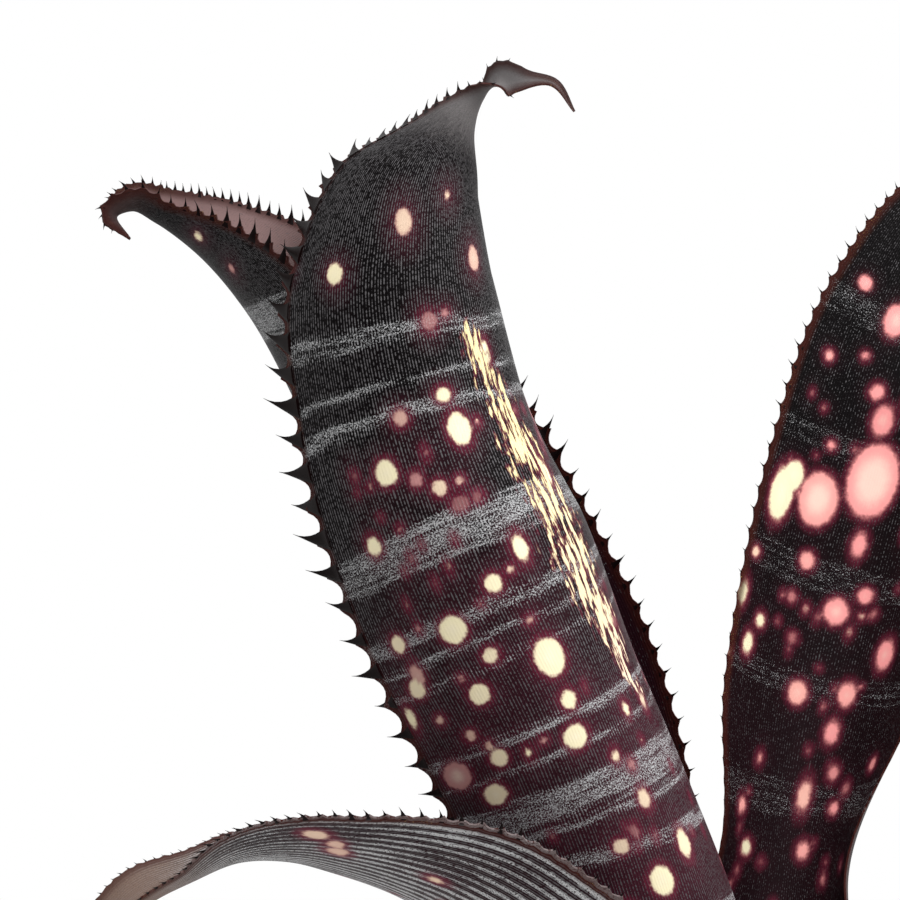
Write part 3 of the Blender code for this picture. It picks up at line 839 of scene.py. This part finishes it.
    # Margins and spines. The margins carry painted backlight: a red-brown shine as if light came
    # through the thin edge.
    rim = edge.rise(2.6, 0.4) * (0.45 + 0.7 * drift) * claw.rise(0.5, 0.0)
    base = skin.blend(rim, base, tuple(settings.painted_margin_backlight))
    flaw = rim * grain.rise(0.60, 0.68) * drift.rise(0.5, 0.6)
    base = skin.blend(flaw, base, OCHRE_FLAW)
    base = skin.blend(claw.rise(0.0, 0.5), base, tuple(settings.thorn))

    plain = 1 - claw.rise(0.0, 0.2)
    relief = ((ridge * 0.45 + scurf * 0.35) * (1 - 0.75 * core) * plain
              + skin.noise(place, 2.2, 2.0) * 0.5 * plain)
    values = {"Base Color": base,
              "Roughness": 0.42 + 0.25 * scurf * plain - 0.08 * claw,
              "Normal": skin.bump(relief, 0.00010, 0.8),
              "Specular IOR Level": settings.sheen}
    # Painted backlight: the spots' pale colour is given off as light, so they shine as if lit from
    # behind.
    if look.get("painted_backlight_glow"):
        values["Emission Color"] = skin.blend(core, (0.0, 0.0, 0.0), pale)
        values["Emission Strength"] = look["painted_backlight_glow"]
    return skin.shade(values)


# ---------------------------------------------------------------------------
# Pot and potting mix
# ---------------------------------------------------------------------------

POT_HEIGHT = 108.0
POT_FOOT_RADIUS = 42.0
POT_SHOULDER_RADIUS = 54.0
POT_SHOULDER = 86.0
POT_RIM_RADIUS = 60.0
POT_WALL = 5.0
POT_FLOOR = 6.0
DRAIN_RADIUS = 4.5
DRAIN_CIRCLE = 25.0
DRAIN_COUNT = 3
MIX_LEVEL = 97.0
CROWN_RADIUS = 27.0


def rounded_path(corners, radius, steps=6):
    """Open path through corners that are rounded by quadratic arcs of a reach."""
    corners = np.array(corners, dtype=float)
    before = corners[1:-1] - corners[:-2]
    after = corners[2:] - corners[1:-1]
    cut = np.minimum(radius, 0.45 * np.minimum(np.linalg.norm(before, axis=1),
                                               np.linalg.norm(after, axis=1)))[:, None]
    start, end = corners[1:-1] - unit(before) * cut, corners[1:-1] + unit(after) * cut
    t = np.linspace(0, 1, steps)[None, :, None]
    arcs = (start[:, None] * (1 - t)**2 + 2 * corners[1:-1][:, None] * t * (1 - t)
            + end[:, None] * t**2)
    return np.concatenate([corners[:1], arcs.reshape(-1, 2), corners[-1:]])


def divided(path, step):
    """Path with points added so that none of its legs is longer than a step."""
    parts = [np.linspace(a, b, max(2, int(np.linalg.norm(b - a) / step) + 2))[:-1]
             for a, b in zip(path[:-1], path[1:])]
    return np.concatenate([*parts, path[-1:]])


def lathe(profile, segments):
    """Turned closed surface: a profile from the axis to the axis, carried round Z."""
    angle = np.arange(segments) * 2 * math.pi / segments
    rings = profile[1:-1]
    points = np.stack([rings[:, :1] * np.cos(angle), rings[:, :1] * np.sin(angle),
                       np.repeat(rings[:, 1:], segments, axis=1)], axis=-1).reshape(-1, 3)
    faces = grid_faces(len(rings), segments)[:, ::-1].tolist()
    first, last = len(points), len(points) + 1
    around = np.arange(segments)
    beside = (around + 1) % segments
    faces += np.stack([np.full(segments, first), around, beside], axis=1).tolist()
    end = (len(rings) - 1) * segments
    faces += np.stack([np.full(segments, last), end + beside, end + around], axis=1).tolist()
    poles = np.array([[0, 0, profile[0, 1]], [0, 0, profile[-1, 1]]])
    return np.concatenate([points, poles]), faces


def pot_wall_radius(height):
    """Outer radius of the tapered body at a height."""
    return POT_FOOT_RADIUS + (POT_SHOULDER_RADIUS - POT_FOOT_RADIUS) * height / POT_SHOULDER


def clay_finish(settings):
    """Fired clay: mottled, bloomed in patches, damper towards its foot, with turning lines."""
    clay = Finish("clay_finish")
    place = clay.object_place()
    height = Number(clay, clay.add("ShaderNodeSeparateXYZ", None, {0: place}).outputs[2])
    cloud = clay.noise(place, 26.0, 4.0, 0.6)
    mottle = clay.noise(place, 5.0, 4.0, 0.6)
    sand = clay.noise(place, 0.55, 2.0, 0.7)
    lines = clay.noise(clay.scaled(place, (0.02, 0.02, 1.7)), 1.0, 3.0, 0.7)
    damp = (height + (cloud - 0.5) * 55).rise(34, 2) * 0.85
    bloom = ((cloud + mottle * 0.5 + (height + (mottle - 0.5) * 24).rise(58, 88) * 0.14)
             .rise(0.80, 1.02)) * (0.35 + 0.65 * sand.rise(0.35, 0.6))
    base = clay.blend(damp, tuple(settings.clay), tuple(settings.clay_dark))
    base = clay.blend(mottle.rise(0.40, 0.75) * 0.30, base, tuple(settings.clay_dark))
    base = clay.blend(bloom * 0.62, base, tuple(settings.bloom))
    base = clay.blend(sand.rise(0.64, 0.75) * 0.35, base, tuple(settings.bloom))
    relief = lines * 0.6 + sand * 0.3 + mottle * 0.25
    return clay.shade({"Base Color": base, "Roughness": 0.80 + 0.12 * bloom - 0.10 * damp,
                       "Normal": clay.bump(relief, settings.turning * 2.5, 0.7),
                       "Specular IOR Level": 0.30})


def bark_finish(settings):
    """Bark: dark corky outside and lighter broken fibre, chip by chip."""
    bark = Finish("bark_mix_finish")
    place = bark.object_place()
    tone, grain = bark.attribute("tone"), bark.attribute("perlite")
    fibre = bark.noise(bark.scaled(place, (1.6, 0.5, 1.0)), 1.0, 4.0, 0.65)
    fine = bark.noise(place, 0.5, 2.0, 0.7)
    share = (fibre * 0.9 + tone * 0.8 - 0.45).rise(0.15, 0.85)
    base = bark.blend(share, tuple(settings.bark), tuple(settings.bark_light))
    base = bark.blend(fine.rise(0.60, 0.40) * 0.55, base, (0.020, 0.011, 0.007))
    base = bark.blend(grain * (0.8 + 0.2 * fine), base, tuple(settings.perlite))
    return bark.shade({"Base Color": base, "Roughness": 0.88 - 0.12 * fine,
                       "Normal": bark.bump(fibre * 0.6 + fine * 0.5, 0.0005, 0.8),
                       "Specular IOR Level": 0.25})


def caudex_finish():
    """Short stem: brown, fibrous, ringed with old leaf scars."""
    stem = Finish("caudex_finish")
    place = stem.object_place()
    fibre = stem.noise(stem.scaled(place, (1.4, 1.4, 0.15)), 1.0, 4.0, 0.65)
    scar = stem.noise(stem.scaled(place, (0.04, 0.04, 0.9)), 1.0, 3.0, 0.6)
    base = stem.blend(fibre.rise(0.35, 0.7), (0.075, 0.042, 0.022), (0.245, 0.165, 0.095))
    base = stem.blend(scar.rise(0.56, 0.68) * 0.7, base, (0.035, 0.020, 0.012))
    return stem.shade({"Base Color": base, "Roughness": 0.72 + 0.15 * fibre,
                       "Normal": stem.bump(fibre + scar * 0.6, 0.0004, 0.8),
                       "Specular IOR Level": 0.30})


def scattered_lumps(count, size, flat, reach, level, rng, cube):
    """Irregular lumps lying on the mix, as whole arrays.

    Each is a cube or a coarse ball whose corners are pushed at random, scaled to
    a random length, width and height, turned about Z and tipped a little.
    """
    mesh = bmesh.new()
    if cube:
        bmesh.ops.create_cube(mesh, size=1.0)
        bmesh.ops.subdivide_edges(mesh, edges=mesh.edges[:], cuts=1, use_grid_fill=True)
    else:
        bmesh.ops.create_icosphere(mesh, subdivisions=1, radius=0.5)
    mesh.verts.index_update()
    shape = np.array([vertex.co for vertex in mesh.verts])
    faces = [[vertex.index for vertex in face.verts] for face in mesh.faces]
    mesh.free()
    if cube:
        shape = shape * (1 - 0.16 * (np.abs(shape) > 0.4).sum(axis=1, keepdims=True) + 0.16)
    lumps = shape[None] + rng.normal(0, 0.055, (count, *shape.shape))
    length = size * rng.uniform(0.55, 1.35, count)
    scale = np.stack([length, length * rng.uniform(0.45, 0.9, count),
                      length * flat * rng.uniform(0.6, 1.4, count)], axis=1)
    lumps = lumps * scale[:, None]
    tip, turn = rng.normal(0, 0.38, count), rng.uniform(0, 2 * math.pi, count)
    x, y, z = lumps[..., 0], lumps[..., 1], lumps[..., 2]
    y, z = (y * np.cos(tip)[:, None] - z * np.sin(tip)[:, None],
            y * np.sin(tip)[:, None] + z * np.cos(tip)[:, None])
    x, y = (x * np.cos(turn)[:, None] - y * np.sin(turn)[:, None],
            x * np.sin(turn)[:, None] + y * np.cos(turn)[:, None])
    away = np.sqrt(rng.uniform(reach[0]**2, (reach[1] - 0.45 * length)**2))
    around = rng.uniform(0, 2 * math.pi, count)
    centre = np.stack([away * np.cos(around), away * np.sin(around),
                       level + rng.uniform(0, 1.6, count) + 0.2 * scale[:, 2]], axis=1)
    points = np.stack([x, y, z], axis=-1) + centre[:, None]
    corners = [[corner + index * len(shape) for corner in face]
               for index in range(count) for face in faces]
    tone = np.repeat(rng.uniform(0, 1, count), len(shape))
    return points.reshape(-1, 3), corners, tone


# ---------------------------------------------------------------------------
# Operators
# ---------------------------------------------------------------------------

class BROMELIAD_OT_leaves(bpy.types.Operator):
    """Build the eight leaves with their spines and spots"""

    bl_idname = "bromeliad.leaves"
    bl_label = "Leaves"

    def execute(self, context):
        settings = context.scene.bromeliad_leaves
        for name, look in LEAVES.items():
            build_leaf(name, look, settings, leaf_finish(name, look, settings))
        return {"FINISHED"}


class BROMELIAD_OT_pot(bpy.types.Operator):
    """Build the turned clay pot with its drain holes"""

    bl_idname = "bromeliad.pot"
    bl_label = "Pot"

    def execute(self, context):
        settings = context.scene.bromeliad_pot
        inner_top = POT_SHOULDER_RADIUS + 0.6
        corners = [
            (0, POT_FLOOR), (pot_wall_radius(POT_FLOOR) - POT_WALL, POT_FLOOR),
            (pot_wall_radius(POT_SHOULDER) - POT_WALL, POT_SHOULDER - 2),
            (inner_top, POT_SHOULDER + 5), (inner_top + 0.8, POT_HEIGHT),
            (POT_RIM_RADIUS, POT_HEIGHT), (POT_RIM_RADIUS - 1.6, POT_SHOULDER),
            (POT_SHOULDER_RADIUS, POT_SHOULDER), (POT_FOOT_RADIUS, 0), (0, 0)]
        profile = divided(rounded_path(corners, 2.0), 3.0)
        points, faces = lathe(profile, 160)
        pot = add_piece("pot_surface", points * MM, faces, clay_finish(settings), "pot")
        cutters = []
        for index in range(DRAIN_COUNT):
            angle = 2 * math.pi * index / DRAIN_COUNT
            bpy.ops.mesh.primitive_cylinder_add(
                vertices=40, radius=DRAIN_RADIUS * MM, depth=4 * POT_FLOOR * MM,
                location=(DRAIN_CIRCLE * math.cos(angle) * MM,
                          DRAIN_CIRCLE * math.sin(angle) * MM, 0))
            cutters.append(context.object)
            cut = pot.modifiers.new("drain", "BOOLEAN")
            cut.operation = "DIFFERENCE"
            cut.object = cutters[-1]
        context.view_layer.update()
        bored = bpy.data.meshes.new_from_object(pot.evaluated_get(
            context.evaluated_depsgraph_get()))
        pot.modifiers.clear()
        pot.data = bored
        for cutter in cutters:
            bpy.data.objects.remove(cutter)
        return {"FINISHED"}


class BROMELIAD_OT_potting_mix(bpy.types.Operator):
    """Build the potting mix with its bark chips and perlite"""

    bl_idname = "bromeliad.potting_mix"
    bl_label = "Potting mix"

    def execute(self, context):
        settings = context.scene.bromeliad_pot
        rng = np.random.default_rng(31)
        inner = pot_wall_radius(POT_SHOULDER) - POT_WALL
        corners = [
            (0, 60), (CROWN_RADIUS - 3, 62), (CROWN_RADIUS, MIX_LEVEL - 6),
            (CROWN_RADIUS, MIX_LEVEL - 1.5), (36, MIX_LEVEL), (POT_SHOULDER_RADIUS, MIX_LEVEL - 1),
            (POT_SHOULDER_RADIUS, POT_SHOULDER + 6), (inner - 1, POT_SHOULDER - 2),
            (pot_wall_radius(POT_FLOOR) - POT_WALL - 1, POT_FLOOR + 1), (0, POT_FLOOR + 1)]
        profile = divided(rounded_path(corners, 2.0), 1.6)
        points, faces = lathe(profile, 180)
        top = (points[:, 2] > MIX_LEVEL - 3) & (np.hypot(points[:, 0], points[:, 1]) > CROWN_RADIUS)
        bumps = (np.sin(points[:, 0] * 0.9 + 2 * np.sin(points[:, 1] * 0.4))
                 * np.sin(points[:, 1] * 0.8 + 1.5 * np.sin(points[:, 0] * 0.5)))
        points[:, 2] += np.where(top, 0.8 * bumps, 0.0)
        parts, corners_of = [points], list(faces)
        tones, grains = [np.full(len(points), 0.25)], [np.zeros(len(points))]
        reach = (CROWN_RADIUS + 4.0, POT_SHOULDER_RADIUS - 0.4)
        for count, size, flat, cube, white in ((settings.chips, 7.5, 0.36, True, 0.0),
                                               (settings.chips, 3.4, 0.5, True, 0.0),
                                               (settings.grains, 2.6, 0.85, False, 1.0)):
            lumps, lump_faces, tone = scattered_lumps(count, size, flat, reach, MIX_LEVEL - 0.4,
                                                      rng, cube)
            start = sum(len(part) for part in parts)
            corners_of += [[start + corner for corner in face] for face in lump_faces]
            parts.append(lumps)
            tones.append(tone)
            grains.append(np.full(len(lumps), white))
        add_piece("potting_mix_surface", np.concatenate(parts) * MM, corners_of,
                  bark_finish(settings), "potting_mix",
                  values={"tone": np.concatenate(tones), "perlite": np.concatenate(grains)})
        return {"FINISHED"}


class BROMELIAD_OT_caudex(bpy.types.Operator):
    """Give the short stem its fibrous finish"""

    bl_idname = "bromeliad.caudex"
    bl_label = "Caudex"

    def execute(self, context):
        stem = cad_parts["caudex"]
        stem.material_slots[0].material = caudex_finish()
        return {"FINISHED"}


def light_white_surround(tree, strength):
    """Surround that looks white and lights softly: full behind and above, dim in front."""
    sky = NodeTree(tree)
    around = sky.add("ShaderNodeTexCoord").outputs["Generated"]
    depth = sky.number("ShaderNodeSeparateXYZ", None, {0: around}, "Y")
    light = sky.number("ShaderNodeMapRange", {"interpolation_type": "SMOOTHSTEP"},
                       {"Value": depth, "From Min": -0.75, "From Max": 0.45,
                        "To Min": FRONT_LIGHT, "To Max": strength})
    seen = sky.number("ShaderNodeLightPath", output="Is Camera Ray")
    background = sky.add("ShaderNodeBackground", None,
                         {"Color": (1.0, 1.0, 1.0), "Strength": seen.most(light)})
    sky.add("ShaderNodeOutputWorld", None, {"Surface": background.outputs[0]})


class BROMELIAD_OT_stage(bpy.types.Operator):
    """Build the floor, the lights and the camera"""

    bl_idname = "bromeliad.stage"
    bl_label = "Stage"

    def execute(self, context):
        settings = context.scene.bromeliad_stage
        scene = context.scene
        paper = Finish("pale_floor_finish")
        place = paper.add("ShaderNodeTexCoord").outputs["Object"]
        tone = paper.noise(place, 0.05, 3.0)
        base = paper.blend(tone * 0.5, tuple(settings.floor_colour), (0.86, 0.86, 0.85))
        paper.shade({"Base Color": base, "Roughness": 0.75 + 0.1 * tone,
                     "Specular IOR Level": 0.2})
        around = np.arange(FLOOR_SEGMENTS) * 2 * math.pi / FLOOR_SEGMENTS
        reach = np.array([0.25, 0.6, 1.0]) * settings.floor_radius
        points = np.stack([reach[:, None] * np.cos(around), reach[:, None] * np.sin(around),
                           np.zeros((len(reach), FLOOR_SEGMENTS))], axis=-1).reshape(-1, 3)
        faces = [list(range(FLOOR_SEGMENTS)),
                 *grid_faces(len(reach), FLOOR_SEGMENTS)[:, ::-1].tolist()]
        floor = add_piece("floor", points, faces, paper.material)

        world = bpy.data.worlds.new("white_surround")
        world.use_nodes = True
        scene.world = world
        light_white_surround(world.node_tree, settings.surround)

        for name, place, size, share in SOFTBOXES:
            data = bpy.data.lights.new(name, "AREA")
            data.shape = "SQUARE"
            data.size = size
            data.energy = settings.overhead * share
            light = bpy.data.objects.new(name, data)
            light.location = place
            light.rotation_euler = (LIT_POINT - Vector(place)).to_track_quat("-Z", "Y").to_euler()
            scene.collection.objects.link(light)

        data = bpy.data.cameras.new("camera")
        data.lens = settings.lens
        data.sensor_width = 36.0
        data.clip_start = 0.01
        camera = bpy.data.objects.new("camera", data)
        camera.location = CAMERA_PLACE
        camera.rotation_euler = (math.radians(90), 0, 0)
        scene.collection.objects.link(camera)
        scene.camera = camera
        scene.view_settings.view_transform = "Standard"
        return {"FINISHED"}


class BROMELIAD_PT_sidebar(bpy.types.Panel):
    """Builders of the potted bromeliad's pieces"""

    bl_idname = "BROMELIAD_PT_sidebar"
    bl_label = "Potted bromeliad"
    bl_space_type = "VIEW_3D"
    bl_region_type = "UI"
    bl_category = "Bromeliad"

    def draw(self, context):
        column = self.layout.column(align=True)
        for operator in OPERATORS:
            column.operator(operator.bl_idname)
        for group in (context.scene.bromeliad_leaves, context.scene.bromeliad_pot,
                      context.scene.bromeliad_stage):
            box = self.layout.box()
            for key in type(group).__annotations__:
                box.prop(group, key)


GROUPS = {"bromeliad_leaves": BromeliadLeafSettings, "bromeliad_pot": BromeliadPotSettings,
          "bromeliad_stage": BromeliadStageSettings}
OPERATORS = (BROMELIAD_OT_leaves, BROMELIAD_OT_pot, BROMELIAD_OT_potting_mix,
             BROMELIAD_OT_caudex, BROMELIAD_OT_stage)


def register():
    """Register the classes and hang the settings on the scene."""
    for item in (*GROUPS.values(), *OPERATORS, BROMELIAD_PT_sidebar):
        bpy.utils.register_class(item)
    for key, group in GROUPS.items():
        setattr(bpy.types.Scene, key, bpy.props.PointerProperty(type=group))


def unregister():
    """Take the settings and the classes away again."""
    for key in GROUPS:
        delattr(bpy.types.Scene, key)
    for item in reversed((*GROUPS.values(), *OPERATORS, BROMELIAD_PT_sidebar)):
        bpy.utils.unregister_class(item)


def main():
    """Build every piece in order."""
    register()
    for operator in OPERATORS:
        group, name = operator.bl_idname.split(".")
        getattr(getattr(bpy.ops, group), name)()


if __name__ == "__main__":
    main()
